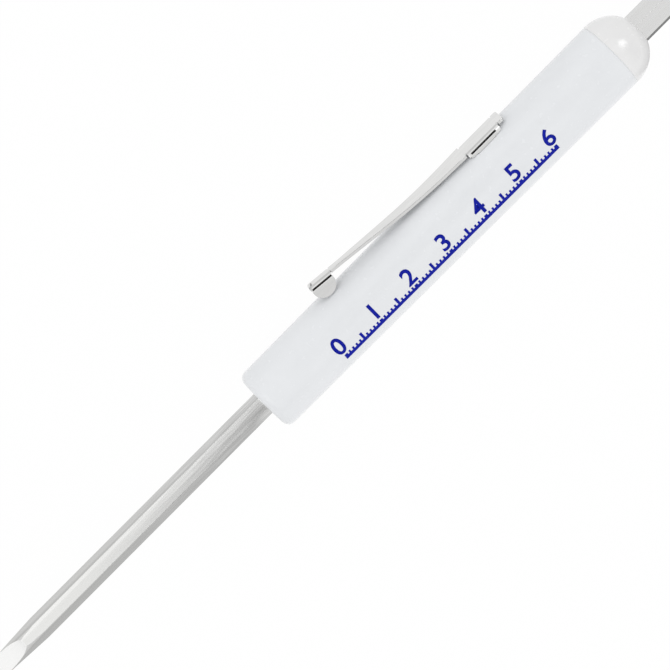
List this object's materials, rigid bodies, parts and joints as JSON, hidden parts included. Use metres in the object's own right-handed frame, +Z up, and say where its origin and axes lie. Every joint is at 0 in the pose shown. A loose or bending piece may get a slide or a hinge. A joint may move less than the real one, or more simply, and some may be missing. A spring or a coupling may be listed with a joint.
{
  "type": "pocket screwdriver",
  "caption": "Slim pocket screwdriver: tapered round barrel with a spring clip, hexagonal slotted blade that pulls out of the foot, hexagonal cross-point bit in the domed end cap.",
  "frame": {"origin": "middle of the slotted tip's end face, on the tool's axis", "axes": "+X along the tool from the slotted tip to the top bit, +Y towards the pocket clip, +Z up"},
  "size_m": [0.2053, 0.0196, 0.0156],
  "materials": {
    "barrel_plastic": "white, smooth moulded",
    "cap_plastic": "white, smooth moulded",
    "magnet_plating": "nickel plated",
    "bit_steel": "drawn and blasted",
    "blade_steel": "drawn bar, ground tip",
    "spring_steel": "rolled strip",
    "clip_plating": "bright nickel plated"
  },
  "bodies": {
    "handle": {"barrel": "barrel_plastic", "end_cap": "cap_plastic", "bit_magnet": "magnet_plating", "blade_spring": "spring_steel", "clip_base": "clip_plating"},
    "blade": {"blade": "blade_steel"},
    "bit": {"top_bit": "bit_steel"},
    "clip_spring": {"clip_arm": "clip_plating"}
  },
  "joints": [
    {"name": "blade_slide", "type": "slide", "parent": "handle", "child": "blade", "axis": [-1, 0, 0], "range_m": [0, 0.046]},
    {"name": "bit_slide", "type": "slide", "parent": "handle", "child": "bit", "axis": [1, 0, 0], "range_m": [0, 0.0124]},
    {"name": "clip_flex", "type": "hinge", "parent": "handle", "child": "clip_spring", "pos_m": [0.14, 0.00871, 0], "axis": [0, 0, -1], "range_deg": [0, 5], "stiffness_Nm_per_rad": 1.8}
  ]
}
